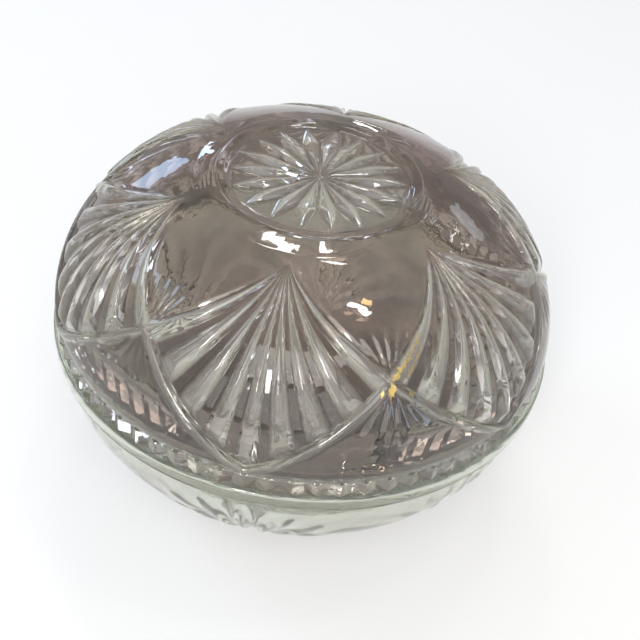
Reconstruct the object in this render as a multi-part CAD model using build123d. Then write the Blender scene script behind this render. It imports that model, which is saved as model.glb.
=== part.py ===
from build123d import *
from math import asin, cos, degrees, radians, sin
import os

# A lidded sweet bowl in clear pressed glass: a round bowl on a foot ring, and a domed lid with a low ring
# knob that lifts straight off. Both carry a band of ribbed fans, and the lid's rim is cut into saw teeth.
# Origin: centre of the foot ring's underside. +Z is up, and one fan faces -Y. Sizes are in millimetres
# and degrees.

# Pattern, the same on bowl and lid, apart from the ribs' raised backs, which only the lid has
fan_count = 6
rib_count = 9
tooth_count = 72
petal_count = 18
first_fan = -90.0        # heading of the fan that faces the front
flute_r = 2.4            # round cutter between two ribs
flute_depth = 1.3        # where the flute ends at the fan's border
flute_lead_in = 0.3      # how far above the glass the cutter starts at the fan's apex
border_r = 1.8           # round cutter along the fan's outline
border_depth = 0.8
border_in = 2.0          # from the middle of a fan's border bar in to the groove that frees the rib ends
border_gap = 2.6         # from the same line in to where the flutes end
border_bend = 1.2        # 1 is a straight border, more lets it belly out
outline_out = 2.0        # from the middle of a fan's outer rib out to the groove beside it
corner_gap = 2.0         # plain glass left where border grooves would cross
tip_gap = 1.5            # plain glass between a fan's tip and the rim band
rib_w = 5.0
rib_crest = 0.45         # how far a rib's back stands above the glass at the fan's border
rib_start = 0.18         # where a rib starts to rise, as a share of the way from the fan's apex
rib_lead_in = 0.1        # how far under the glass it lies there
bar_w = 2.8              # bar along the fan's border
bar_crest = 0.5
bar_gap = 0.03           # share of a border left free at each end of its bar
ridge_fall = 0.55        # fall of a rib's or bar's back from its middle to its edges
ridge_root = 1.6         # height of a rib or bar, most of it inside the glass

# Bowl
bowl_h = 54.0            # foot to seat
bowl_r = 68.8            # body at its widest, under the lip
bowl_shoulder_r = 33.5   # bend of the side
bowl_sag = 1.5           # how far the underside's curve would reach below the foot
bowl_wall = 5.0
lip_step = 2.1           # how far the lip stands out from the body
lip_h = 4.6
foot_r = 31.0
foot_t = 5.0             # width of the foot ring's flat
foot_flare = 3.5
foot_recess = 2.0
bowl_floor_r = 28.0      # flat floor inside
bowl_apex_gap = 11.5     # from the foot to where the fans start
bowl_corner_in = 8.2     # from the widest place in to where neighbouring fans meet

# Lid
rim_set_in = 0.9         # from the bowl's lip in to the lid's rim
band_h = 4.6             # toothed band of the rim
lid_shoulder_r = 38.5
lid_rise = 46.9          # height of the dome's curve above the band
lid_wall = 4.5
lid_ceiling_r = 28.0     # flat ceiling under the knob
lid_apex_gap = 2.6
lid_corner_in = 9.4
flange_clearance = 1.0   # between the lid's flange and the bowl's mouth
flange_t = 2.6
flange_h = 4.0           # reach of the flange into the bowl
flange_rise = 3.0
lid_inner_turn = 70.0    # where the inner wall leaves its curve for the flange
tooth_h = 3.7            # from the seat up
tooth_depth = 1.4
tooth_share = 0.92       # width of a notch at the rim, as a share of the pitch
notch_out = 0.1          # how far a notch's cutter stands out past the rim

# Ring knob and its star
knob_r = 27.8
knob_h = 1.8             # above the dome at the knob's foot
knob_flare = 5.6
knob_cove = 0.3          # hollow of the knob's side
knob_ring_t = 3.3        # width of the ring round the star
star_recess = 0.9
star_margin = 1.5        # plain floor outside the petals
petal_in = 2.5           # where petals start
petal_taper = 7.5        # from a petal's widest place to its outer end
petal_gap = 0.8          # between petals where they are widest
petal_h = 0.8
petal_root = 0.2         # how far a petal reaches into its floor

# Values worked out from the sizes above
lip_r = bowl_r + lip_step
rim_r = lip_r - rim_set_in
mouth_r = bowl_r - bowl_wall
flange_r = mouth_r - flange_clearance
fan_step = 360 / fan_count
half_fan = fan_step / 2


class Dome:
    # A round shell whose section is a crown arc centred on the axis, rise above the level, then a tangent
    # shoulder arc that ends upright at edge_r on that level. A place on it is given by the tilt of its
    # outward normal from the axis.

    def __init__(self, edge_r, level, shoulder_r, rise, way):
        self.shoulder_r = shoulder_r
        self.way = way
        self.level = level
        self.offset = edge_r - shoulder_r
        spare = rise - shoulder_r
        reach = (self.offset ** 2 + spare ** 2) / (2 * spare)
        self.crown_r = shoulder_r + reach
        self.bend = degrees(asin(self.offset / reach))
        self.centre = level - way * (reach - spare)

    def at(self, tilt, lift=0.0):
        side, rise = sin(radians(tilt)), cos(radians(tilt))
        if tilt < self.bend:
            reach = self.crown_r + lift
            return (reach * side, self.centre + self.way * reach * rise)
        reach = self.shoulder_r + lift
        return (self.offset + reach * side, self.level + self.way * reach * rise)

    def tilt_at(self, r, lift=0.0):
        if r < (self.crown_r + lift) * sin(radians(self.bend)):
            return degrees(asin(r / (self.crown_r + lift)))
        return degrees(asin((r - self.offset) / (self.shoulder_r + lift)))

    def run_at(self, tilt):
        # Length along the section from the axis
        on_crown = radians(min(tilt, self.bend)) * self.crown_r
        return on_crown + radians(max(tilt - self.bend, 0)) * self.shoulder_r

    def tilt_of(self, run):
        crown_run = radians(self.bend) * self.crown_r
        if run < crown_run:
            return degrees(run / self.crown_r)
        return self.bend + degrees((run - crown_run) / self.shoulder_r)

    def arc(self, start, end, lift=0.0):
        return ThreePointArc(self.at(start, lift), self.at((start + end) / 2, lift), self.at(end, lift))

    def place(self, heading, run, lift):
        r, z = self.at(self.tilt_of(run), lift)
        return Vector(r * cos(radians(heading)), r * sin(radians(heading)), z)


def between(start, end, share):
    return (start[0] + (end[0] - start[0]) * share, start[1] + (end[1] - start[1]) * share)


def swing(section, path):
    middle = path.arc_center
    turn_axis = Axis(middle, (path @ 0 - middle).cross(path @ 0.5 - middle))
    return revolve(section, turn_axis, degrees(path.length / path.radius))


def flute(dome, places, depths, radius):
    # A round groove through three (heading, run) places, with its depth at each
    path = ThreePointArc(*[dome.place(*place, radius - depth) for place, depth in zip(places, depths)])
    return swing(Plane(path @ 0, z_dir=path % 0) * Circle(radius), path)


def ridge(dome, places, crests, width):
    # A rib with a roof-shaped back through three places, with the lift of its crest at each
    path = ThreePointArc(*[dome.place(*place, crest) for place, crest in zip(places, crests)])
    out = path @ 0 - path.arc_center
    half = width / 2
    roof = Polyline((-half, -ridge_fall), (0, 0), (half, -ridge_fall), (half, -ridge_root),
                    (-half, -ridge_root), close=True)
    section = Plane(path @ 0, x_dir=out.cross(path % 0), z_dir=path % 0) * make_face(roof)
    return swing(section, path)


class Fan:
    # One fan of the pattern, facing the front: ribs from an apex down to two borders that meet at a tip

    def __init__(self, dome, apex_r, corner_r):
        self.dome = dome
        self.apex = dome.run_at(dome.tilt_at(apex_r))
        self.corner = dome.run_at(dome.tilt_at(corner_r))
        self.tip = dome.run_at(90.0) - tip_gap
        self.rib_step = fan_step / (rib_count - 1)

    def border_at(self, side, inset=0.0):
        share = (abs(side) / half_fan) ** border_bend
        return (first_fan + side, self.tip + (self.corner - self.tip) * share - inset)

    def ridges(self):
        # A rib to each place along the border, and a bar along each half of it
        apex = (first_fan, self.apex)
        crests = (-rib_lead_in, rib_crest / 2, rib_crest)
        found = []
        for index in range(rib_count):
            side = index * self.rib_step - half_fan
            end = self.border_at(side, border_in if 0 < index < rib_count - 1 else 0.0)
            start = between(apex, end, rib_start)
            found.append(ridge(self.dome, (start, between(start, end, 0.5), end), crests, rib_w))
        for way in (-half_fan, half_fan):
            places = [self.border_at(way * share) for share in (1 - bar_gap, 0.5, bar_gap)]
            found.append(ridge(self.dome, places, [bar_crest] * 3, bar_w))
        return found

    def grooves(self):
        # Flutes between the ribs, an outline beside the outer ribs, and a groove inside each border
        start = (first_fan, self.apex)
        deepening = (-flute_lead_in, (flute_depth - flute_lead_in) / 2, flute_depth)
        found = []
        for index in range(rib_count - 1):
            end = self.border_at((index + 0.5) * self.rib_step - half_fan, border_gap)
            found.append(flute(self.dome, (start, between(start, end, 0.5), end), deepening, flute_r))
        corner_share = 1 - corner_gap / (self.corner - self.apex)
        border_share = corner_gap / (self.tip - self.corner)
        edge_depths = (-flute_lead_in, border_depth / 2, border_depth)
        edge_run = self.apex + (self.corner - self.apex) * corner_share - outline_out
        for way in (-1, 1):
            edge_start = (first_fan + way * self.rib_step / 2, self.apex)
            edge_end = (first_fan + way * half_fan * corner_share, edge_run)
            places = (edge_start, between(edge_start, edge_end, 0.5), edge_end)
            found.append(flute(self.dome, places, edge_depths, border_r))
            shares = (1 - border_share, 0.5, border_share)
            places = [self.border_at(way * half_fan * share, border_in) for share in shares]
            found.append(flute(self.dome, places, [border_depth] * 3, border_r))
        return found


def around(cutter, count):
    return [Rot(Z=index * 360 / count) * cutter for index in range(count)]


def dress(piece, ridges, grooves):
    # Each rib and cutter goes right round by itself, because neighbours overlap
    for rib in ridges:
        piece += around(rib, fan_count)
    for cutter in grooves:
        piece -= around(cutter, fan_count)
    return piece


def turned(outline):
    return revolve(Plane.XZ * make_face(outline), Axis.Z)


def star_petals(floor_r, floor_z, way):
    # Leaves raised on a floor that faces the given way: each is a low pyramid on a kite set into the floor
    grow = 1 + petal_root / petal_h
    widest = floor_r - star_margin - petal_taper
    inner = widest - (widest - petal_in) * grow
    outer = widest + petal_taper * grow
    half_width = (radians(360 / petal_count) * widest - petal_gap) / 2 * grow
    kite = Polyline((inner, 0), (widest, half_width), (outer, 0), (widest, -half_width), close=True)
    base = Pos(Z=floor_z - way * petal_root) * make_face(kite)
    petal = loft([base, Vertex(widest, 0, floor_z + way * petal_h)], ruled=True)
    return around(petal, petal_count)


def make_bowl():
    level = bowl_h - lip_h
    body = Dome(bowl_r, level, bowl_shoulder_r, level + bowl_sag, -1)
    foot_end = foot_r + foot_flare
    foot_top = body.tilt_at(foot_end)
    foot_in = foot_r - foot_t
    star_r = foot_in - foot_recess
    floor_turn = body.tilt_at(bowl_floor_r, -bowl_wall)
    floor = body.at(floor_turn, -bowl_wall)
    outline = [
        Polyline((0, foot_recess), (star_r, foot_recess), (foot_in, 0), (foot_r, 0), body.at(foot_top)),
        body.arc(foot_top, body.bend),
        body.arc(body.bend, 90.0),
        Polyline(body.at(90.0), (lip_r, level), (lip_r, bowl_h), (mouth_r, bowl_h),
                 body.at(90.0, -bowl_wall)),
        body.arc(90.0, body.bend, -bowl_wall),
        body.arc(body.bend, floor_turn, -bowl_wall),
        Polyline(floor, (0, floor[1]), (0, foot_recess)),
    ]
    shell = turned(outline) + star_petals(star_r, foot_recess, -1)
    fan = Fan(body, foot_end + bowl_apex_gap, bowl_r - bowl_corner_in)
    return dress(shell, [], fan.grooves())


def make_lid():
    dome = Dome(rim_r, bowl_h + band_h, lid_shoulder_r, lid_rise, 1)
    knob_foot_r = knob_r + knob_flare
    knob_foot = dome.tilt_at(knob_foot_r)
    knob_end = Vector(*dome.at(knob_foot))
    knob_top = knob_end.Y + knob_h
    knob_edge = Vector(knob_r, knob_top)
    side = (knob_end - knob_edge).normalized()
    cove_mid = (knob_edge + knob_end) / 2 + Vector(side.Y, -side.X) * knob_cove
    ceiling_turn = dome.tilt_at(lid_ceiling_r, -lid_wall)
    ceiling = dome.at(ceiling_turn, -lid_wall)
    flange_in = flange_r - flange_t
    star_r = knob_r - knob_ring_t
    star_z = knob_top - star_recess
    outline = [
        Polyline((0, star_z), (star_r, star_z), (star_r + star_recess, knob_top), knob_edge),
        ThreePointArc(knob_edge, cove_mid, knob_end),
        dome.arc(knob_foot, dome.bend),
        dome.arc(dome.bend, 90.0),
        Polyline(dome.at(90.0), (rim_r, bowl_h), (flange_r, bowl_h), (flange_r, bowl_h - flange_h),
                 (flange_in, bowl_h - flange_h), (flange_in, bowl_h + flange_rise),
                 dome.at(lid_inner_turn, -lid_wall)),
        dome.arc(lid_inner_turn, dome.bend, -lid_wall),
        dome.arc(dome.bend, ceiling_turn, -lid_wall),
        Polyline(ceiling, (0, ceiling[1]), (0, star_z)),
    ]
    shell = turned(outline) + star_petals(star_r, star_z, 1) - saw_notches()
    fan = Fan(dome, knob_foot_r + lid_apex_gap, rim_r - lid_corner_in)
    return dress(shell, fan.ridges(), fan.grooves())


def saw_notches():
    # Upright notches with a V for their plan, so that the glass between them is left as sharp-edged teeth
    half_width = radians(360 / tooth_count) * rim_r * tooth_share / 2 * (1 + notch_out / tooth_depth)
    notch = Polyline((rim_r - tooth_depth, 0), (rim_r + notch_out, half_width),
                     (rim_r + notch_out, -half_width), close=True)
    face = Pos(Z=bowl_h - tooth_depth) * make_face(notch)
    return around(extrude(face, tooth_depth + tooth_h, dir=(0, 0, 1)), tooth_count)


os.makedirs("parts", exist_ok=True)
for name, piece in {"bowl": make_bowl(), "lid": make_lid()}.items():
    piece.label = name
    export_step(piece, f"parts/{name}.step")
    print(name, "solids", len(piece.solids()), "volume", round(piece.volume), "valid", piece.is_valid)
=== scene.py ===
import random
from math import asin, atan2, cos, hypot, pi, radians, sin

import bmesh
import bpy
from mathutils import Matrix, Vector


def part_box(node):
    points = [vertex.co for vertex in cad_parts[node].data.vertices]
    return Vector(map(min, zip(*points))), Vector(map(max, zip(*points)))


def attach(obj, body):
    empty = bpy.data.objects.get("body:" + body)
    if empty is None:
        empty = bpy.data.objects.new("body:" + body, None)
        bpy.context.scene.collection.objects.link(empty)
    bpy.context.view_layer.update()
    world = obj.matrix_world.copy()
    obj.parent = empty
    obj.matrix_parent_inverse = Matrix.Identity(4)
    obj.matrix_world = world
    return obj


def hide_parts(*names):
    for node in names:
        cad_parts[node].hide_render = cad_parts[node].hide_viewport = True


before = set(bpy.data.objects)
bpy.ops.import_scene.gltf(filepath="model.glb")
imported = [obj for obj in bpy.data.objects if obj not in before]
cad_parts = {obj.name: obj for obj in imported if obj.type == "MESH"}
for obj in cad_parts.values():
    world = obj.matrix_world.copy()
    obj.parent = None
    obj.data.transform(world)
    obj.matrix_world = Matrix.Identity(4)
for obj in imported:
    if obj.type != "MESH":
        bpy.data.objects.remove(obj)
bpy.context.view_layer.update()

mm = 0.001
cm3 = 1e-6
weld = 2e-6               # metres, for seams between patches
crease = radians(48)      # edges that bend more than this stay sharp

# Pressed pattern, shared by bowl and lid. Lengths are millimetres, and heading 0 is the middle of a fan.
pattern = {
    "fans": 6,
    "halfFan": radians(30.0),
    "ribsAside": 4,          # ribs on each side of a fan's middle rib
    "ribFoot": 0.35,         # half width of a rib, as a share of the rib pitch
    "ribBack": 0.56,         # share of that half width under the rounded back
    "backFall": 0.22,        # fall of the back to its edges, as a share of the rib's height
    "ribCrown": 0.45,
    "floorDepth": 0.95,      # of the plain floor between ribs
    "barHalf": 1.3,
    "barCrown": 0.5,
    "barFoot": 0.8,          # where the groove has risen to the bar, as a share of the bar's half width
    "barFade": (0.4, 1.0),   # where the bar fades, as shares of the way from border to rim
    "channelAt": 1.75,       # bottom of the groove inside the border bar
    "hipEnd": 4.9,           # where the rib ends start to slope down
    "wornEnd": 9.0,          # the same for ribs worn to a soft wave
    "edgeHalf": 2.2,         # outer half of an outer rib, at its corner
    "edgeLeast": 0.01,       # the same at the apex
    "edgeFall": (0.45, 1.0),     # where that half slopes down, as shares of its width
    "edgeLean": 0.75,        # straight way off an outer rib, as a share of the way along a leaning row
    "outlineWide": 1.8,      # groove outside the outer rib
    "outlineFrom": (0.15, 0.6),  # where it deepens, as shares of the way from apex to corner
    "borderBend": 1.2,       # 1 is a straight border, 2 a parabola
    "dipWide": 2.6,          # where the dome starts to dip towards the teeth
    "barHighlight": 0.35,        # share of the lighter tint on the border bars, a painted highlight
    "clearFrom": (0.04, 0.2),    # where ribs take the lighter tint of painted highlight, as shares of the way from apex to border
    "clearFall": (0.6, 1.0),     # where ribs and bars lose it, as shares of their half width
    "leafHalf": 0.42,        # half width of a leaf-shaped cut, as a share of the step between two
    "leafBlunt": 0.7,        # 1 is a pointed leaf, less a blunt one
    "leafLevel": 0.95,       # radius that the lower cuts lie at, as a share of the edge's
    "petals": 18,
    "petalTaper": 1.5,       # 1 is a straight taper, more a fuller one
    "petalRound": 0.3,       # 0 is a roof, 1 a round back
    "petalSwell": 0.8,       # 1 is a height that follows the width
    "petalLeast": 0.02,      # narrower petals are left flat
    "petalHighlight": 0.6,       # share of a petal's height at which it takes the whole lighter tint of painted highlight
    "valleyHighlight": 0.15,     # share of that lighter painted-highlight tint between petals
    "starFade": 2.0,         # width over which it fades outside the star
}

# Columns across half a rib pitch, rows back from a fan's border, and how rows crowd there
pitchMarks = [0.09, 0.165, 0.19, 0.215, 0.27, 0.33, 0.355, 0.39, 0.5]
endMarks = [6.5, 5.6, 5.0, 4.6, 4.1, 3.5, 2.9, 2.4, 2.05, 1.8, 1.6, 1.4, 1.2, 0.95, 0.65, 0.35, 0.15, 0.0]
mainRows = 24
crowding = {"fan": 1.3, "upper": 1.6, "lower": 1.5}
flatShares = (0.7, 0.4, 0.15, 0.0)       # rings of a flat floor or ceiling


def ease(low, high, x):
    x = min(max((x - low) / (high - low), 0.0), 1.0)
    return x * x * (3 - 2 * x)


def mix(a, b, share):
    return a + (b - a) * share


# Section of a piece: a crown arc about the axis, then a tangent shoulder arc that ends upright at edgeR
def domeOf(size):
    dome = dict(size)
    dome["offset"] = size["edgeR"] - size["shoulderR"]
    spare = size["rise"] - size["shoulderR"]
    reach = (dome["offset"] ** 2 + spare ** 2) / (2 * spare)
    dome["crownR"] = size["shoulderR"] + reach
    dome["bend"] = asin(dome["offset"] / reach)
    dome["crownRun"] = dome["bend"] * dome["crownR"]
    dome["centre"] = size["level"] - size["way"] * (reach - spare)
    dome["edge"] = dome["crownRun"] + (pi / 2 - dome["bend"]) * size["shoulderR"]
    dome["top"] = runAt(dome, size["topR"])
    dome["apex"] = runAt(dome, size["apexR"])
    dome["corner"] = runAt(dome, size["cornerR"])
    dome["tip"] = dome["edge"] - size["tipGap"]
    return dome


def tiltOf(dome, run):
    if run < dome["crownRun"]:
        return run / dome["crownR"]
    return dome["bend"] + (run - dome["crownRun"]) / dome["shoulderR"]


def tiltAt(dome, r, lift=0.0):
    if r < (dome["crownR"] + lift) * sin(dome["bend"]):
        return asin(r / (dome["crownR"] + lift))
    return asin((r - dome["offset"]) / (dome["shoulderR"] + lift))


def runAt(dome, r):
    tilt = tiltAt(dome, r)
    if tilt < dome["bend"]:
        return tilt * dome["crownR"]
    return dome["crownRun"] + (tilt - dome["bend"]) * dome["shoulderR"]


def sectionAt(dome, tilt, lift=0.0):
    if tilt < dome["bend"]:
        reach = dome["crownR"] + lift
        return reach * sin(tilt), dome["centre"] + dome["way"] * reach * cos(tilt)
    reach = dome["shoulderR"] + lift
    return dome["offset"] + reach * sin(tilt), dome["level"] + dome["way"] * reach * cos(tilt)


def around(r, heading, z):
    return Vector((r * sin(heading), -r * cos(heading), z)) * mm


def onDome(dome, heading, run, lift=0.0):
    r, z = sectionAt(dome, tiltOf(dome, run), lift)
    return around(r, heading, z)


def newShell():
    bm = bmesh.new()
    bm.verts.layers.float.new("clear")
    return bm


# A grid whose points are placed by column and row, each with its share of the lighter tint that paints
# highlights on ribs, bars and petals
def layGrid(bm, columns, rows, place):
    clear = bm.verts.layers.float["clear"]
    made = bmesh.ops.create_grid(bm, x_segments=columns, y_segments=rows, size=0.5)["verts"]
    for vert in made:
        vert.co, vert[clear] = place(round((vert.co.x + 0.5) * columns), round((vert.co.y + 0.5) * rows))


# Columns of half a fan, in rib pitches from its middle
def fanColumns():
    marks = [0.0]
    for rib in range(pattern["ribsAside"]):
        marks += [rib + mark for mark in pitchMarks]
        marks += [rib + 1 - mark for mark in reversed(pitchMarks[:-1])] + [rib + 1.0]
    return marks


fanMarks = fanColumns()
fanWide = fanMarks[-1]
fanCount = len(fanMarks) - 1
fanRows = mainRows + len(endMarks) - 1


def borderAt(dome, share):
    heading = pattern["halfFan"] * share
    return heading, dome["tip"] - (dome["tip"] - dome["corner"]) * share ** pattern["borderBend"]


def spokeLength(dome, share):
    heading, run = borderAt(dome, share)
    r = sectionAt(dome, tiltOf(dome, (run + dome["apex"]) / 2))[0]
    return hypot(heading * r, run - dome["apex"])


# Distance short of the border at a row, and the length from the apex to the border
def toBorder(dome, share, row):
    length = spokeLength(dome, share)
    if row >= mainRows:
        return endMarks[row - mainRows], length
    return length - (length - endMarks[0]) * (row / mainRows) ** crowding["fan"], length


# Section of a rib: a low rounded back between two bevels, or one soft wave where the mould is worn
def ribShare(dome, x):
    aside = abs(x - round(x)) / pattern["ribFoot"]
    flat = pattern["ribBack"]
    back = 1 - pattern["backFall"] * (min(aside, flat) / flat) ** 2
    bevel = min(max((1 - aside) / (1 - flat), 0.0), 1.0)
    wave = 0.5 + 0.5 * cos(2 * pi * (x - round(x)))
    return mix(back * bevel, wave, dome["worn"])


def barLift(dome, away):
    crown = (1 - dome["worn"]) * dome["relief"] * pattern["barCrown"]
    return crown * max(0.0, 1 - (away / pattern["barHalf"]) ** 2)


# Height of the relief at x rib pitches from the fan's middle, and a distance short of its border
def fanLift(dome, x, short, length):
    deep = min((length - short) / dome["ribsFull"], 1.0) * dome["relief"]
    crown, floor = pattern["ribCrown"] * deep, -pattern["floorDepth"] * deep
    lift = mix(floor, crown, ribShare(dome, x))
    if dome["worn"]:
        return lift * ease(0.0, dome["ribsFull"], length - short) * ease(0.0, pattern["wornEnd"], short)
    onEdge = ease(fanWide - pattern["ribFoot"], fanWide - pattern["ribFoot"] / 2, x)
    if short < pattern["hipEnd"]:
        down = (pattern["hipEnd"] - short) / (pattern["hipEnd"] - pattern["channelAt"])
        hip = mix(crown, floor, min(down, 1.0))
        lift = mix(min(lift, hip), lift, onEdge)
    if short < pattern["channelAt"]:
        bank = pattern["channelAt"] - pattern["barHalf"] * pattern["barFoot"]
        up = (pattern["channelAt"] - short) / bank
        lift = mix(lift, max(lift, 0.0), min(up, 1.0))
    if short < pattern["barHalf"]:
        lift = max(lift, barLift(dome, short))
    return lift


# Leaf-shaped cuts that fan out from a corner between two fans
def rayLift(aside, along, rays):
    reach = hypot(aside, along)
    if reach < rays["from"] or reach > rays["to"]:
        return 0.0
    turn = atan2(aside, along) / rays["step"]
    if abs(turn) > rays["count"] / 2:
        return 0.0
    off = abs(turn - round(turn)) / pattern["leafHalf"]
    middle = (reach - rays["from"]) / (rays["to"] - rays["from"])
    return -rays["depth"] * max(0.0, 1 - off) * sin(pi * middle) ** pattern["leafBlunt"]


def fanPatch(bm, dome):
    def place(column, row):
        x = fanMarks[column]
        short, length = toBorder(dome, x / fanWide, row)
        heading, run = borderAt(dome, x / fanWide)
        out = 1 - short / length
        lift = fanLift(dome, x, short, length)
        # ribs take the lighter tint, a painted highlight, and floors the darker painted shade
        clear = ribShare(dome, x) * ease(*pattern["clearFrom"], out)
        if short < pattern["channelAt"]:
            clear = pattern["barHighlight"]
        return onDome(dome, heading * out, mix(dome["apex"], run, out), lift), clear
    layGrid(bm, fanCount, fanRows, place)


# Plain window above the corner, between two fans
def upperPatch(bm, dome, rays=None):
    rows = dome["upperRows"]

    def place(column, row):
        short, length = toBorder(dome, 1.0, column)
        out = 1 - short / length
        edge = (pattern["halfFan"] * out, mix(dome["apex"], dome["corner"], out))
        top = (pattern["halfFan"] * column / fanRows, dome["top"])
        share = (row / rows) ** crowding["upper"]
        heading, run = mix(edge[0], top[0], share), mix(edge[1], top[1], share)
        r = sectionAt(dome, tiltOf(dome, run))[0]
        away = hypot((heading - edge[0]) * r, run - edge[1]) * pattern["edgeLean"]
        half = max(pattern["edgeHalf"] * out, pattern["edgeLeast"])
        lift, clear = 0.0, 0.0
        if away < half:
            crest = fanLift(dome, fanWide, short, length)
            lift = mix(crest, 0.0, ease(*pattern["edgeFall"], away / half))
            # the outer rib's lighter tint is a painted highlight
            clear = (1 - ease(*pattern["clearFall"], away / half)) * ease(*pattern["clearFrom"], out)
        elif away < half + pattern["outlineWide"]:
            dip = (away - half) / pattern["outlineWide"]
            lift = -dome["outline"] * ease(*pattern["outlineFrom"], out) * sin(pi * dip) ** 2
        if rays and 0 < row < rows:
            lift += rayLift((heading - pattern["halfFan"]) * r, dome["corner"] - run, rays)
        return onDome(dome, heading, run, lift), clear
    layGrid(bm, fanRows, rows, place)


# Plain window below the corner, down to the rim
def lowerPatch(bm, dome, rays=None):
    rows = dome["lowerRows"]

    def place(column, row):
        heading, run = borderAt(dome, fanMarks[column] / fanWide)
        down = (row / rows) ** crowding["lower"]
        away = (dome["edge"] - run) * down
        lift = barLift(dome, away) * (1 - ease(*pattern["barFade"], down))
        heading = mix(heading, pattern["halfFan"] * column / fanCount, down)
        run += away
        if rays and 0 < row < rows:
            r = dome["edgeR"] * pattern["leafLevel"]
            lift += rayLift((heading - pattern["halfFan"]) * r, run - dome["corner"], rays)
        lift -= dome["rimDip"] * ease(dome["edge"] - pattern["dipWide"], dome["edge"], run)
        # the border bar's lighter tint is a painted highlight, fading off the bar
        clear = pattern["barHighlight"] * (1 - ease(*pattern["clearFall"], away / pattern["barHalf"]))
        return onDome(dome, heading, run, lift), clear
    layGrid(bm, fanCount, rows, place)


# Star of petals: rounded leaves that touch along sharp valleys near the middle, and part at their ends
def petalLift(star, r, heading):
    pitch = 2 * pi / pattern["petals"]
    aside = abs((heading + pitch / 2) % pitch - pitch / 2) * r
    half = pitch / 2 * min(r, star["wideR"])
    if r > star["wideR"]:
        taper = (r - star["wideR"]) / (star["outR"] - star["wideR"])
        half *= max(0.0, 1 - taper ** pattern["petalTaper"])
    if half < pattern["petalLeast"] or aside > half:
        return 0.0
    roof = mix(1 - aside / half, 1 - (aside / half) ** 2, pattern["petalRound"])
    return star["height"] * (half / (pitch / 2 * star["wideR"])) ** pattern["petalSwell"] * roof


# Rows of the star's floor from the axis out, and of the plain floor round it
def starOutline(star, floor):
    steps = star["rows"]
    return [(star["outR"] * step / steps, floor) for step in range(steps + 1)] + [(star["flatR"], floor)]


# End of a piece with its star: the knob's top or the foot
def endPatch(bm, dome, outline, star):
    def place(column, row):
        r, z = outline[row]
        heading = pattern["halfFan"] * column / fanRows
        raised = petalLift(star, r, heading)
        # petals take the lighter tint as a painted highlight, valleys little of it
        onPetal = ease(0.0, star["height"] * pattern["petalHighlight"], raised)
        clear = star["clear"] * mix(pattern["valleyHighlight"], 1.0, onPetal)
        clear *= 1 - ease(star["outR"], star["outR"] + pattern["starFade"], r)
        return around(r, heading, z + dome["way"] * raised), clear
    layGrid(bm, fanRows, len(outline) - 1, place)


# Inside of the wall, from a tilt on to a flat of radius flatR, and the flat in to the axis
def innerWall(dome, tilt, flatR):
    steps = dome["innerRows"]
    last = tiltAt(dome, flatR, -dome["wall"])
    wall = [sectionAt(dome, mix(tilt, last, step / steps), -dome["wall"]) for step in range(steps + 1)]
    level = wall[-1][1]
    return wall + [(flatR * share, level) for share in flatShares]


def spinOutline(bm, outline, steps):
    before = set(bm.verts)
    verts = [bm.verts.new(Vector((r, 0, z)) * mm) for r, z in outline]
    edges = [bm.edges.new(pair) for pair in zip(verts, verts[1:])]
    bmesh.ops.spin(bm, geom=verts + edges, cent=(0, 0, 0), axis=(0, 0, 1), angle=2 * pi, steps=steps,
                   use_merge=True)
    # spun faces take the whole lighter tint and none of the darker painted shade
    clear = bm.verts.layers.float["clear"]
    for vert in bm.verts:
        if vert not in before:
            vert[clear] = 1.0


# Half a fan's sector is mirrored, then copied round the axis
def aroundAll(bm):
    bmesh.ops.remove_doubles(bm, verts=bm.verts[:], dist=weld)
    half = bm.verts[:] + bm.edges[:] + bm.faces[:]
    bmesh.ops.mirror(bm, geom=half, matrix=Matrix.Identity(4), merge_dist=weld, axis="X")
    sector = bm.verts[:] + bm.edges[:] + bm.faces[:]
    copies = pattern["fans"] - 1
    bmesh.ops.spin(bm, geom=sector, cent=(0, 0, 0), axis=(0, 0, 1), angle=2 * pi * copies / pattern["fans"],
                   steps=copies, use_duplicate=True)
    bmesh.ops.remove_doubles(bm, verts=bm.verts[:], dist=weld)


def closeShell(bm):
    bmesh.ops.remove_doubles(bm, verts=bm.verts[:], dist=weld)
    # the two open rings lie on one level, so the flat between them is filled
    rings = [edge for edge in bm.edges if edge.is_boundary]
    bmesh.ops.triangle_fill(bm, edges=rings, use_beauty=True, normal=(0, 0, -1))
    bmesh.ops.recalc_face_normals(bm, faces=bm.faces[:])
    for face in bm.faces:
        face.smooth = True
    for edge in bm.edges:
        edge.smooth = edge.calc_face_angle(0.0) < crease


# Mesh and object of a finished shape, with its material
def newPiece(bm, name, material):
    openEdges = sum(1 for edge in bm.edges if not edge.is_manifold)
    triangles = sum(len(face.verts) - 2 for face in bm.faces)
    volume = bm.calc_volume(signed=True) / cm3
    print(name, "triangles", triangles, "open edges", openEdges, "volume", round(volume, 2), "cm3")
    mesh = bpy.data.meshes.new(name)
    bm.to_mesh(mesh)
    bm.free()
    mesh.materials.append(material)
    piece = bpy.data.objects.new(name, mesh)
    bpy.context.collection.objects.link(piece)
    return piece


def newMaterial(name):
    material = bpy.data.materials.new(name)
    material.use_nodes = True
    return material, material.node_tree.nodes, material.node_tree.links.new


def colourMix(nodes):
    node = nodes.new("ShaderNodeMix")
    node.data_type = "RGBA"
    return node


def mathNode(nodes, operation):
    node = nodes.new("ShaderNodeMath")
    node.operation = operation
    return node


# Ranges are of the film's noise
pressedLook = {
    "rippleDetail": 2.0,
    "filmDetail": 5.0,
    "filmDistortion": 0.6,
    "filmRange": (0.45, 0.75),
    "driftRange": (0.32, 0.68),
    "colours": {"Pale": "pale", "Deep Shade": "deepShade", "Ribs": "ribs", "Rim": "rim"},
    "values": {"Ripple Scale": "rippleScale", "Film Scale": "filmScale", "Polished": "polished",
               "Filmed": "filmed", "Rim Start": "rimStart", "Rim End": "rimEnd",
               "Shade Start": "shadeStart", "Shade End": "shadeEnd"},
}
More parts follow.
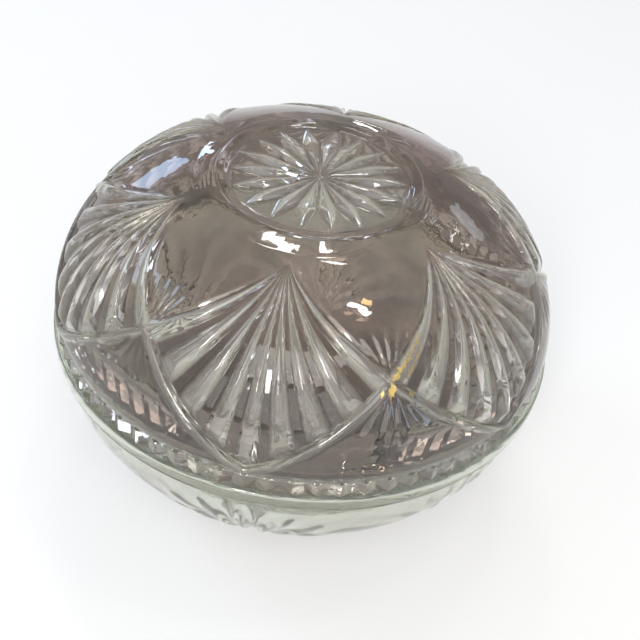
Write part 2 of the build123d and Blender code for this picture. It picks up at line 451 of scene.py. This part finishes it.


# Pressed glass: a faint ripple from the mould, a thin film of handling, and a painted-shade tint that
# drifts
# the dark brown tint stands in for the dark table seen through the glass; ribs get a lighter tint as
# painted highlight
def pressedGroup():
    group = bpy.data.node_groups.new("pressedSurface", "ShaderNodeTree")
    side = group.interface
    side.new_socket("Place", in_out="INPUT", socket_type="NodeSocketVector")
    for name in pressedLook["colours"]:
        side.new_socket(name, in_out="INPUT", socket_type="NodeSocketColor")
    for name in ("Lighter Share", *pressedLook["values"]):
        side.new_socket(name, in_out="INPUT", socket_type="NodeSocketFloat")
    side.new_socket("Tint", in_out="OUTPUT", socket_type="NodeSocketColor")
    side.new_socket("Gloss", in_out="OUTPUT", socket_type="NodeSocketFloat")
    side.new_socket("Ripple", in_out="OUTPUT", socket_type="NodeSocketFloat")
    nodes, link = group.nodes, group.links.new
    given, put = nodes.new("NodeGroupInput"), nodes.new("NodeGroupOutput")

    ripple = nodes.new("ShaderNodeTexNoise")
    ripple.inputs["Detail"].default_value = pressedLook["rippleDetail"]
    link(given.outputs["Place"], ripple.inputs["Vector"])
    link(given.outputs["Ripple Scale"], ripple.inputs["Scale"])
    link(ripple.outputs["Fac"], put.inputs["Ripple"])

    film = nodes.new("ShaderNodeTexNoise")
    film.inputs["Detail"].default_value = pressedLook["filmDetail"]
    film.inputs["Distortion"].default_value = pressedLook["filmDistortion"]
    link(given.outputs["Place"], film.inputs["Vector"])
    link(given.outputs["Film Scale"], film.inputs["Scale"])

    def filmSpread(low, high):
        spread = nodes.new("ShaderNodeMapRange")
        spread.inputs["From Min"].default_value = low
        spread.inputs["From Max"].default_value = high
        link(film.outputs["Fac"], spread.inputs["Value"])
        return spread

    patches = filmSpread(*pressedLook["filmRange"])
    link(given.outputs["Polished"], patches.inputs["To Min"])
    link(given.outputs["Filmed"], patches.inputs["To Max"])
    link(patches.outputs["Result"], put.inputs["Gloss"])

    split = nodes.new("ShaderNodeSeparateXYZ")
    link(given.outputs["Place"], split.inputs["Vector"])

    def byHeight(start, end):
        height = nodes.new("ShaderNodeMapRange")
        link(split.outputs["Z"], height.inputs["Value"])
        link(given.outputs[start], height.inputs["From Min"])
        link(given.outputs[end], height.inputs["From Max"])
        return height.outputs["Result"]

    # the painted-shade tint drifts at random with the film, and is painted darker low down
    shadeShare = mathNode(nodes, "ADD")
    shadeShare.use_clamp = True
    link(filmSpread(*pressedLook["driftRange"]).outputs["Result"], shadeShare.inputs[0])
    link(byHeight("Shade Start", "Shade End"), shadeShare.inputs[1])

    # then a lighter tint on ribs as painted highlight between floors in painted shade, and a lighter
    # greenish tint at the rim
    tint = given.outputs["Pale"]
    for share, name in ((shadeShare.outputs["Value"], "Deep Shade"), (given.outputs["Lighter Share"], "Ribs"),
                        (byHeight("Rim Start", "Rim End"), "Rim")):
        layer = colourMix(nodes)
        link(share, layer.inputs["Factor"])
        link(tint, layer.inputs["A"])
        link(given.outputs[name], layer.inputs["B"])
        tint = layer.outputs["Result"]
    link(tint, put.inputs["Tint"])
    return group


pressed = pressedGroup()


def glassMaterial(name, look):
    material, nodes, link = newMaterial(name)
    shader = nodes["Principled BSDF"]
    shader.inputs["IOR"].default_value = look["ior"]
    shader.inputs["Transmission Weight"].default_value = 1.0
    place = nodes.new("ShaderNodeTexCoord")
    clear = nodes.new("ShaderNodeAttribute")
    clear.attribute_name = "clear"
    surface = nodes.new("ShaderNodeGroup")
    surface.node_tree = pressed
    for socket, key in pressedLook["colours"].items():
        surface.inputs[socket].default_value = (*look[key], 1)
    for socket, key in pressedLook["values"].items():
        surface.inputs[socket].default_value = look[key]
    link(clear.outputs["Fac"], surface.inputs["Lighter Share"])
    link(place.outputs["Object"], surface.inputs["Place"])
    link(surface.outputs["Tint"], shader.inputs["Base Color"])
    link(surface.outputs["Gloss"], shader.inputs["Roughness"])
    bump = nodes.new("ShaderNodeBump")
    bump.inputs["Strength"].default_value = look["rippleStrength"]
    bump.inputs["Distance"].default_value = look["rippleHeight"]
    link(surface.outputs["Ripple"], bump.inputs["Height"])
    link(bump.outputs["Normal"], shader.inputs["Normal"])
    absorb = nodes.new("ShaderNodeVolumeAbsorption")
    absorb.inputs["Color"].default_value = (*look["depthColour"], 1)
    absorb.inputs["Density"].default_value = look["depth"]
    link(absorb.outputs["Volume"], nodes["Material Output"].inputs["Volume"])
    return material


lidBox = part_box("lid")

# Lengths in millimetres. In the looks, heights along Z are metres.
lid = {
    "edgeR": 70.0,
    "level": 58.6,           # top of the toothed band
    "shoulderR": 38.5,
    "rise": 46.9,            # of the dome's curve above the level
    "way": 1,
    "wall": 4.5,
    "topR": 33.4,            # foot of the knob
    "apexR": 36.0,
    "cornerR": 61.2,
    "tipGap": 1.1,
    "upperRows": 22,
    "lowerRows": 14,
    "relief": 1.0,
    "worn": 0.0,             # 0 is crisp ribs, 1 a soft wave
    "outline": 0.5,          # depth of the groove outside the outer ribs
    "ribsFull": 13.0,        # distance from a fan's apex at which its ribs stand full
    "seat": 54.06,           # a hair above the bowl's lip, so that the two faces don't meet
    "rimDip": 0.65,          # the dome's edge is let in behind the teeth
    "bandMarks": [58.45, 58.38, 58.2, 57.9, 57.3, 56.6, 55.3],   # rows between the level and the seat
    "teeth": 72,
    "toothTop": 58.38,
    "toothIn": 0.05,
    "toothDepth": 1.35,
    "flangeR": 62.8,
    "flangeIn": 60.2,
    "flangeFoot": 50.0,
    "flangeTop": 57.0,
    "flangeRound": 0.5,
    "flangeBite": 0.15,      # how far in the middle of a rounded corner lies
    "innerTurn": radians(70),    # tilt at which the inner wall leaves the flange
    "ceilingR": 28.0,
    "innerRows": 24,
    "innerSteps": 216,
    "knobTop": lidBox[1].z / mm - 0.005,
    "knobSag": 0.06,         # hollow of the knob's side
    "knobRows": 10,
    "starRecess": 0.9,
    # ring round the star: radius, and depth under the knob's top
    "ring": [(24.1, 0.8), (24.6, 0.5), (25.0, 0.2), (25.35, 0.04), (25.7, 0.0), (26.5, 0.0), (27.2, 0.0),
             (27.5, 0.06), (27.8, 0.28), (28.0, 0.68)],
    # the star's petals take the lighter tint as a painted highlight
    "star": {"wideR": 14.5, "outR": 23.2, "flatR": 23.7, "height": 0.9, "clear": 1.0, "rows": 16},
    "upperRays": {"from": 4.0, "to": 14.0, "step": radians(15), "count": 4.6, "depth": 0.45},
    "lowerRays": {"from": 3.0, "to": 15.0, "step": radians(20), "count": 4.6, "depth": 0.5},
    "look": {
        "ior": 1.52,
        # the first two tints are painted shade, dark browns for the dark table seen through the glass; the
        # ribs tint is lighter, a painted highlight; the rim tint is the pale greenish of thick clear glass
        # at its edge
        "pale": (0.33, 0.226, 0.186),
        "deepShade": (0.138, 0.107, 0.093),
        "ribs": (0.78, 0.745, 0.70),
        "rim": (0.86, 0.87, 0.80),
        "rimStart": 0.061,
        "rimEnd": 0.0575,
        # between these heights, going down, the darker painted shade takes over
        "shadeStart": 0.09,
        "shadeEnd": 0.072,
        "rippleScale": 190.0,
        "rippleStrength": 0.12,
        "rippleHeight": 0.0006,
        "filmScale": 55.0,
        "polished": 0.012,
        "filmed": 0.07,
        "depthColour": (0.66, 0.66, 0.60),
        "depth": 6.0,
    },
}


# Rim band: upright teeth with a sharp edge and two flat sides each, which stand out from the dome's edge
def toothBand(bm):
    pitch = 2 * pi / lid["teeth"]
    band = [lid["level"], *lid["bandMarks"], lid["seat"]]

    def place(column, row):
        heading = pattern["halfFan"] * column / fanCount
        side = abs((heading + pitch / 2) % pitch - pitch / 2) / (pitch / 2)
        inner = lid["edgeR"] - lid["rimDip"]
        tooth = lid["edgeR"] - lid["toothIn"] - lid["toothDepth"] * side
        share = min((lid["level"] - band[row]) / (lid["level"] - lid["toothTop"]), 1.0)
        return around(mix(inner, tooth, share), heading, band[row]), 0.0
    layGrid(bm, fanCount, len(band) - 1, place)


def knobOutline(dome):
    top = lid["knobTop"]
    outline = starOutline(lid["star"], top - lid["starRecess"])
    outline += [(r, top - depth) for r, depth in lid["ring"]]
    # hollow side of the knob, an arc that ends on the dome
    end = sectionAt(dome, tiltAt(dome, lid["topR"]))
    start = Vector(outline[-1])
    chord = Vector(end) - start
    sag = lid["knobSag"]
    bulge = chord.length / 2 / sag
    radius = sag * (1 + bulge * bulge) / 2
    across = Vector((chord.y, -chord.x)).normalized()
    middle = start + chord / 2 - across * (radius - sag)
    swing = 2 * asin(chord.length / 2 / radius)
    first = start - middle
    for step in range(1, lid["knobRows"]):
        turn = swing * step / lid["knobRows"]
        outline.append((middle.x + first.x * cos(turn) - first.y * sin(turn),
                        middle.y + first.x * sin(turn) + first.y * cos(turn)))
    return outline + [end]


def flangeOutline(dome):
    r, inside, foot = lid["flangeR"], lid["flangeIn"], lid["flangeFoot"]
    soft, bite = lid["flangeRound"], lid["flangeBite"]
    outline = [(r, lid["seat"]), (r, foot + soft), (r - bite, foot + bite), (r - soft, foot)]
    outline += [(inside + soft, foot), (inside + bite, foot + bite), (inside, foot + soft)]
    outline.append((inside, lid["flangeTop"]))
    return outline + innerWall(dome, lid["innerTurn"], lid["ceilingR"])


def makeLid():
    dome = domeOf(lid)
    bm = newShell()
    fanPatch(bm, dome)
    upperPatch(bm, dome, lid["upperRays"])
    lowerPatch(bm, dome, lid["lowerRays"])
    toothBand(bm)
    endPatch(bm, dome, knobOutline(dome), lid["star"])
    aroundAll(bm)
    spinOutline(bm, flangeOutline(dome), lid["innerSteps"])
    closeShell(bm)
    piece = newPiece(bm, "lidGlass", glassMaterial("lidPressedGlass", lid["look"]))
    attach(piece, "lid")
    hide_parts("lid")
    return piece


# The same units as the lid. The way is down, so rise, top and upper rows lie towards the foot.
bowl = {
    "edgeR": 68.8,
    "level": 49.4,           # underside of the lip
    "shoulderR": 33.5,
    "rise": 50.9,
    "way": -1,
    "wall": 5.0,
    "topR": 34.5,            # where the foot leaves the body
    "apexR": 46.0,
    "cornerR": 60.6,
    "tipGap": 1.5,
    "upperRows": 16,
    "lowerRows": 12,
    "relief": 0.7,
    "rimDip": 0.0,
    "worn": 1.0,
    "outline": 0.0,
    "ribsFull": 16.0,
    "lipR": 70.85,
    "lipTop": 54.0,
    "lipUnder": [(1.65, 0.0), (0.65, 0.02), (0.15, 0.2), (0.0, 0.7)],    # in from lipR, up from the level
    "lipOver": [(0.0, 0.9), (0.15, 0.4), (0.45, 0.12), (0.9, 0.0)],      # in from lipR, down from lipTop
    "mouthR": 63.8,
    "mouthEdge": [(0.6, 0.0), (0.2, 0.15), (0.0, 0.6)],      # out from mouthR, down from lipTop
    "floorR": 28.0,
    "innerRows": 30,
    "innerSteps": 216,
    "recess": 2.0,           # of the star under the foot
    # foot ring: radius and height
    "ring": [(24.2, 1.75), (25.5, 0.45), (26.0, 0.12), (26.5, 0.0), (30.4, 0.0), (30.8, 0.1), (31.0, 0.4)],
    "footRows": 4,
    "star": {"wideR": 15.0, "outR": 22.5, "flatR": 23.7, "height": 0.8, "clear": 0.0, "rows": 14},
    "look": {
        "ior": 1.52,
        # as on the lid: the first two tints are painted shade for the dark table seen through the glass,
        # ribs a lighter painted highlight, rim the greenish of thick clear glass
        "pale": (0.56, 0.53, 0.48),
        "deepShade": (0.48, 0.44, 0.40),
        "ribs": (0.82, 0.82, 0.78),
        "rim": (0.70, 0.73, 0.64),
        "rimStart": 0.018,
        "rimEnd": 0.046,
        # between these heights, going down, the darker painted shade takes over
        "shadeStart": 0.03,
        "shadeEnd": 0.0,
        "rippleScale": 190.0,
        "rippleStrength": 0.12,
        "rippleHeight": 0.0006,
        "filmScale": 48.0,
        "polished": 0.012,
        "filmed": 0.07,
        "depthColour": (0.62, 0.66, 0.60),
        "depth": 8.0,
    },
}


def footOutline(dome):
    outline = starOutline(bowl["star"], bowl["recess"]) + bowl["ring"]
    start, end = outline[-1], sectionAt(dome, tiltAt(dome, bowl["topR"]))
    for step in range(1, bowl["footRows"]):
        share = step / bowl["footRows"]
        outline.append((mix(start[0], end[0], share), mix(start[1], end[1], share)))
    return outline + [end]


def mouthOutline(dome):
    r, top, low, inside = bowl["lipR"], bowl["lipTop"], bowl["level"], bowl["mouthR"]
    outline = [(r - inward, low + up) for inward, up in bowl["lipUnder"]]
    outline.append((r, (low + top) / 2))
    outline += [(r - inward, top - down) for inward, down in bowl["lipOver"]]
    outline.append(((r + inside) / 2, top))
    outline += [(inside + outward, top - down) for outward, down in bowl["mouthEdge"]]
    return outline + innerWall(dome, pi / 2, bowl["floorR"])


def makeBowl():
    body = domeOf(bowl)
    bm = newShell()
    fanPatch(bm, body)
    upperPatch(bm, body)
    lowerPatch(bm, body)
    endPatch(bm, body, footOutline(body), bowl["star"])
    aroundAll(bm)
    spinOutline(bm, mouthOutline(body), bowl["innerSteps"])
    closeShell(bm)
    piece = newPiece(bm, "bowlGlass", glassMaterial("bowlPressedGlass", bowl["look"]))
    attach(piece, "bowl")
    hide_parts("bowl")


# Traces of worn gilding, along an outer rib of the fan to the right and round its corner
gilding = {
    "seed": 5,
    # heading in degrees and radius of each trace's two ends, half width and number of flakes
    "traces": [
        ((39.6, 53.6), (35.2, 56.9), 0.40, 34),
        ((35.2, 56.9), (30.3, 60.6), 0.75, 64),
        ((30.3, 60.6), (29.4, 64.0), 0.60, 32),
        ((39.4, 56.2), (36.6, 59.0), 0.30, 14),
        ((36.4, 59.3), (34.9, 61.0), 0.75, 30),
        ((34.6, 62.6), (34.4, 63.2), 0.45, 8),
        ((27.6, 62.0), (27.0, 62.8), 0.40, 7),
    ],
    "size": (0.14, 0.48),
    "ragged": (0.5, 1.0),    # reach of a flake's corners, as shares of its size
    "corners": 7,
    "search": 1.5,           # height over the dome from which the glass is found
    "under": 0.015,
    "over": (0.035, 0.06),
    "look": {
        "bright": (0.83, 0.62, 0.22),
        "dull": (0.47, 0.32, 0.10),
        "rough": (0.25, 0.55),
        "grainScale": 900.0,
        "grainDetail": 3.0,
    },
}


def giltMaterial(look):
    material, nodes, link = newMaterial("wornGilding")
    shader = nodes["Principled BSDF"]
    shader.inputs["Metallic"].default_value = 1.0
    place = nodes.new("ShaderNodeTexCoord")
    grain = nodes.new("ShaderNodeTexNoise")
    grain.inputs["Scale"].default_value = look["grainScale"]
    grain.inputs["Detail"].default_value = look["grainDetail"]
    link(place.outputs["Object"], grain.inputs["Vector"])
    tone = colourMix(nodes)
    tone.inputs["A"].default_value = (*look["bright"], 1)
    tone.inputs["B"].default_value = (*look["dull"], 1)
    link(grain.outputs["Fac"], tone.inputs["Factor"])
    link(tone.outputs["Result"], shader.inputs["Base Color"])
    rough = nodes.new("ShaderNodeMapRange")
    rough.inputs["To Min"].default_value, rough.inputs["To Max"].default_value = look["rough"]
    link(grain.outputs["Fac"], rough.inputs["Value"])
    link(rough.outputs["Result"], shader.inputs["Roughness"])
    return material


def makeGilding(glass):
    dome = domeOf(lid)
    chance = random.Random(gilding["seed"])
    corners = gilding["corners"]
    bpy.context.view_layer.update()

    # a place over the pressed pattern
    def onGlass(heading, r, above):
        over = onDome(dome, heading, runAt(dome, r), gilding["search"])
        place, normal = glass.closest_point_on_mesh(over)[1:3]
        return place + normal * above * mm

    bm = bmesh.new()
    for start, end, half, count in gilding["traces"]:
        for flake in range(count):
            share = chance.random()
            r = mix(start[1], end[1], share) + chance.gauss(0.0, half / 2)
            heading = radians(mix(start[0], end[0], share)) + chance.gauss(0.0, half / 2) / r
            size = chance.uniform(*gilding["size"])
            ragged = [size * chance.uniform(*gilding["ragged"]) for corner in range(corners)]
            rings = []
            for above in (gilding["under"], chance.uniform(*gilding["over"])):
                ring = bmesh.ops.create_circle(bm, cap_ends=True, segments=corners, radius=1.0)["verts"]
                for vert, reach in zip(ring, ragged):
                    vert.co = onGlass(heading + vert.co.x * reach / r, r + vert.co.y * reach, above)
                rings += dict.fromkeys(edge for vert in ring for edge in vert.link_edges)
            bmesh.ops.bridge_loops(bm, edges=rings)
    bmesh.ops.triangulate(bm, faces=bm.faces[:])
    bmesh.ops.recalc_face_normals(bm, faces=bm.faces[:])
    traces = newPiece(bm, "giltTraces", giltMaterial(gilding["look"]))
    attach(traces, "lid")


lidGlass = makeLid()
makeGilding(lidGlass)
makeBowl()

# Lengths from here on are metres
table = {
    "size": 6.0,
    "drop": 0.0004,
    "colour": (0.60, 0.60, 0.597),
    "stain": (0.58, 0.58, 0.577),
    "stainScale": 3.0,
    "rough": 0.9,
    "glow": 0.28,            # pale ground for the camera and for what the glass shows, under the shadow
    "glowColour": (1, 1, 0.995),
}


def tableMaterial():
    material, nodes, link = newMaterial("paleTable")
    shader = nodes["Principled BSDF"]
    shader.inputs["Roughness"].default_value = table["rough"]
    place = nodes.new("ShaderNodeTexCoord")
    cloud = nodes.new("ShaderNodeTexNoise")
    cloud.inputs["Scale"].default_value = table["stainScale"]
    link(place.outputs["Object"], cloud.inputs["Vector"])
    tone = colourMix(nodes)
    tone.inputs["A"].default_value = (*table["colour"], 1)
    tone.inputs["B"].default_value = (*table["stain"], 1)
    link(cloud.outputs["Fac"], tone.inputs["Factor"])
    link(tone.outputs["Result"], shader.inputs["Base Color"])
    # the glow is for rays from the camera and through gloss or glass
    shader.inputs["Emission Color"].default_value = (*table["glowColour"], 1)
    rays = nodes.new("ShaderNodeLightPath")
    through = mathNode(nodes, "MAXIMUM")
    link(rays.outputs["Is Glossy Ray"], through.inputs[0])
    link(rays.outputs["Is Transmission Ray"], through.inputs[1])
    seen = mathNode(nodes, "MAXIMUM")
    link(rays.outputs["Is Camera Ray"], seen.inputs[0])
    link(through.outputs["Value"], seen.inputs[1])
    glow = mathNode(nodes, "MULTIPLY")
    glow.inputs[1].default_value = table["glow"]
    link(seen.outputs["Value"], glow.inputs[0])
    link(glow.outputs["Value"], shader.inputs["Emission Strength"])
    return material


def makeTable():
    bm = bmesh.new()
    bmesh.ops.create_grid(bm, x_segments=2, y_segments=2, size=table["size"] / 2,
                          matrix=Matrix.Translation((0, 0, -table["drop"])))
    mesh = bpy.data.meshes.new("tableTop")
    bm.to_mesh(mesh)
    bm.free()
    mesh.materials.append(tableMaterial())
    top = bpy.data.objects.new("tableTop", mesh)
    bpy.context.collection.objects.link(top)


makeTable()

studio = {
    "sky": (0.46, 0.46, 0.468),
    "bounces": 24,
    "aim": (0, 0, 0.06),
    "lamps": [
        # name, place, size, watts, colour
        ("frontWindow", (-0.12, -1.0, 0.72), (0.15, 0.35), 4.3, (1.0, 0.99, 0.97)),
        ("frontPanel", (0.1, -0.85, 1.0), (0.85, 0.55), 6.3, (1.0, 0.99, 0.97)),
        ("leftWindow", (-1.1, 0.2, 0.75), (0.45, 0.45), 3.5, (0.66, 0.81, 1.0)),
        ("leftStrip", (-0.75, -0.75, 0.6), (0.1, 0.5), 0.5, (0.93, 0.96, 1.0)),
        ("rightStrip", (0.8, -0.7, 0.65), (0.1, 0.5), 0.6, (1.0, 0.96, 0.9)),
        ("rightLamp", (0.33, -0.012, 1.146), (0.04, 0.14), 0.45, (1.0, 0.97, 0.92)),
        ("rightBulb", (0.36, 0.035, 1.14), (0.03, 0.05), 0.1, (1.0, 0.6, 0.22)),
        ("frontLow", (0.1, -1.1, 0.38), (1.4, 0.62), 5.8, (1.0, 0.99, 0.97)),
        ("backWindow", (-0.8, 0.85, 0.42), (0.3, 0.16), 0.7, (0.5, 0.7, 1.0)),
        ("rightWindow", (1.0, -0.6, 0.2), (0.3, 0.25), 1.0, (0.55, 0.74, 1.0)),
        ("backLamp", (-0.044, 1.113, 0.283), (0.075, 0.028), 0.12, (1.0, 1.0, 1.0)),
        ("ceilingPaneLeft", (-0.2, 0.49, 1.05), (0.14, 0.08), 0.9, (1.0, 0.99, 0.97)),
        ("ceilingPaneRight", (-0.01, 0.49, 1.06), (0.035, 0.08), 0.3, (1.0, 0.99, 0.97)),
        ("starLamp", (0.09, 0.27, 1.06), (0.12, 0.07), 0.6, (1.0, 0.99, 0.96)),
        ("starLeft", (-0.36, 0.8, 0.52), (0.12, 0.1), 0.5, (0.55, 0.74, 1.0)),
        ("starRight", (0.5, 0.85, 0.52), (0.2, 0.1), 0.12, (0.8, 0.9, 1.0)),
    ],
}


def makeStudio():
    scene = bpy.context.scene
    world = bpy.data.worlds.new("studioSky")
    world.use_nodes = True
    world.node_tree.nodes["Background"].inputs["Color"].default_value = (*studio["sky"], 1)
    scene.world = world
    for name, place, size, watts, colour in studio["lamps"]:
        lamp = bpy.data.lights.new(name, "AREA")
        lamp.shape = "RECTANGLE"
        lamp.size, lamp.size_y = size
        lamp.energy = watts
        lamp.color = colour
        holder = bpy.data.objects.new(name, lamp)
        holder.location = place
        aim = Vector(studio["aim"]) - Vector(place)
        holder.rotation_euler = aim.to_track_quat("-Z", "Y").to_euler()
        bpy.context.collection.objects.link(holder)
    scene.view_settings.view_transform = "Standard"
    # light goes round inside thick glass many times before it leaves
    scene.cycles.max_bounces = studio["bounces"]
    scene.cycles.transmission_bounces = studio["bounces"]
    scene.cycles.glossy_bounces = studio["bounces"]


makeStudio()

camera = {
    "aim": (0.0, 0.0, 0.054),
    "distance": 0.34167,
    "heading": radians(-82.222),     # round the object, from +X
    "height": radians(40.705),
    "roll": radians(7.047),
    "sensor": 36.0,                  # millimetres, as is the lens
    "lens": 66.24,
    "shift": (0.02673, -0.01533),
    "clipStart": 0.01,
}


def makeCamera():
    data = bpy.data.cameras.new("photoView")
    data.sensor_width = camera["sensor"]
    data.lens = camera["lens"]
    data.shift_x, data.shift_y = camera["shift"]
    data.clip_start = camera["clipStart"]
    holder = bpy.data.objects.new("photoView", data)
    flat = cos(camera["height"])
    back = Vector((flat * cos(camera["heading"]), flat * sin(camera["heading"]), sin(camera["height"])))
    right = Vector((0, 0, 1)).cross(back).normalized()
    up = back.cross(right)
    across = right * cos(camera["roll"]) + up * sin(camera["roll"])
    turn = Matrix((across, back.cross(across), back)).transposed().to_4x4()
    holder.matrix_world = Matrix.Translation(Vector(camera["aim"]) + back * camera["distance"]) @ turn
    bpy.context.collection.objects.link(holder)
    bpy.context.scene.camera = holder


makeCamera()
print("stage ready")
